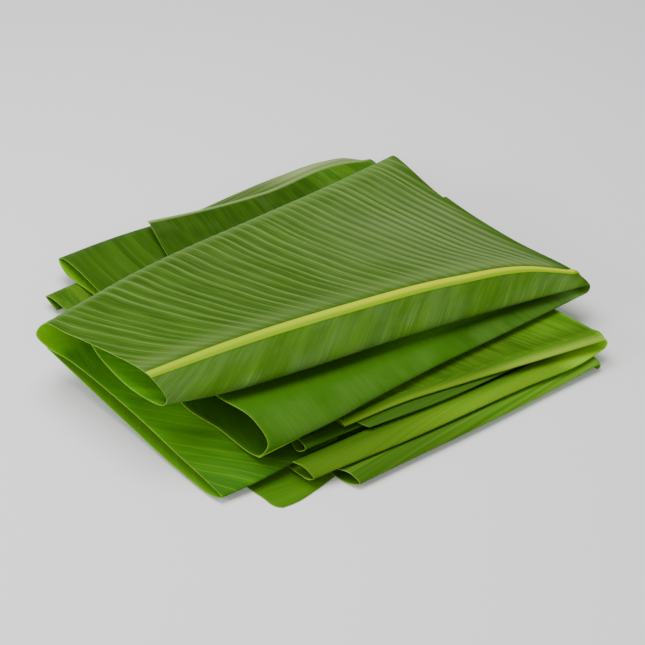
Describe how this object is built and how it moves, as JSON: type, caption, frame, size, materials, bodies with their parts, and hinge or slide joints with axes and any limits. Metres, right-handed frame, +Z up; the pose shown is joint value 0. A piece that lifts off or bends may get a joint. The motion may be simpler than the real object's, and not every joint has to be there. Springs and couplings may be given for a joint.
{
  "type": "folded banana leaf packet",
  "caption": "Flat packet of fresh banana leaf: ribbed lengths of blade folded over crosswise, rolled along their edges and laid into each other.",
  "frame": {"origin": "on the floor, under the middle of the packet's box", "axes": "+X along the midrib towards the crosswise folds, +Y towards the folds at the back, +Z up"},
  "size_m": [0.395, 0.3508, 0.072],
  "materials": {
    "ribbed_leaf": "ribbed leaf blade with a waxy bloom and a pale midrib",
    "fresh_leaf": "glossy yellow-green leaf blade with fine veins",
    "inner_leaf": "satin dark green leaf blade with a pale margin",
    "lower_leaf": "satin deep green leaf blade with fine veins"
  },
  "bodies": {
    "root": {"top_leaf_section": "ribbed_leaf", "second_leaf_section": "fresh_leaf", "third_leaf_section": "inner_leaf", "lowest_leaf_section": "lower_leaf"}
  },
  "joints": []
}
